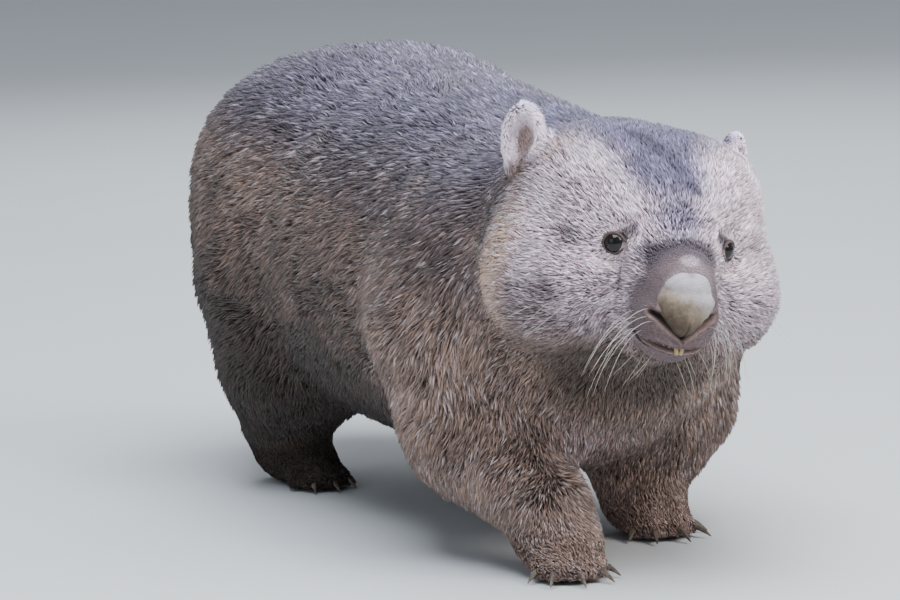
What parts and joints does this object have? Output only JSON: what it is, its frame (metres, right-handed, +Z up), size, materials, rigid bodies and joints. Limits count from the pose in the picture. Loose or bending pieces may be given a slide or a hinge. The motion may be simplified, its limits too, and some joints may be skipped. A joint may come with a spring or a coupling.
{
  "type": "common wombat",
  "caption": "Still life-size model of a common wombat in mid walk: barrel body, broad blunt head, short rounded ears, leathery nose, short legs and clawed feet.",
  "frame": {"origin": "on the floor under the middle of the animal's bounding box", "axes": "+Z up, the nose points to -Y, the animal's left side is at +X"},
  "size_m": [0.3436, 0.8348, 0.3708],
  "materials": {
    "coat_body": "matte",
    "coat_face": "matte",
    "coat_feet": "matte",
    "nose_leather": "satin",
    "eye": "polished",
    "claw_horn": "satin",
    "tooth": "satin"
  },
  "bodies": {
    "root": {"torso": "coat_body", "neck": "coat_body", "head": "coat_face", "nose_pad": "nose_leather", "tail": "coat_body", "ear_left": "coat_face", "eye_left": "eye", "fore_leg_left": "coat_body", "hind_leg_left": "coat_body", "fore_paw_left": "coat_feet", "hind_paw_left": "coat_feet", "ear_right": "coat_face", "eye_right": "eye", "fore_leg_right": "coat_body", "hind_leg_right": "coat_body", "fore_paw_right": "coat_feet", "hind_paw_right": "coat_feet", "claw_fore_left_1": "claw_horn", "claw_fore_left_2": "claw_horn", "claw_fore_left_3": "claw_horn", "claw_fore_left_4": "claw_horn", "claw_fore_left_5": "claw_horn", "claw_hind_left_2": "claw_horn", "claw_hind_left_3": "claw_horn", "claw_hind_left_4": "claw_horn", "claw_hind_left_5": "claw_horn", "claw_fore_right_1": "claw_horn", "claw_fore_right_2": "claw_horn", "claw_fore_right_3": "claw_horn", "claw_fore_right_4": "claw_horn", "claw_fore_right_5": "claw_horn", "claw_hind_right_2": "claw_horn", "claw_hind_right_3": "claw_horn", "claw_hind_right_4": "claw_horn", "claw_hind_right_5": "claw_horn"}
  },
  "joints": []
}
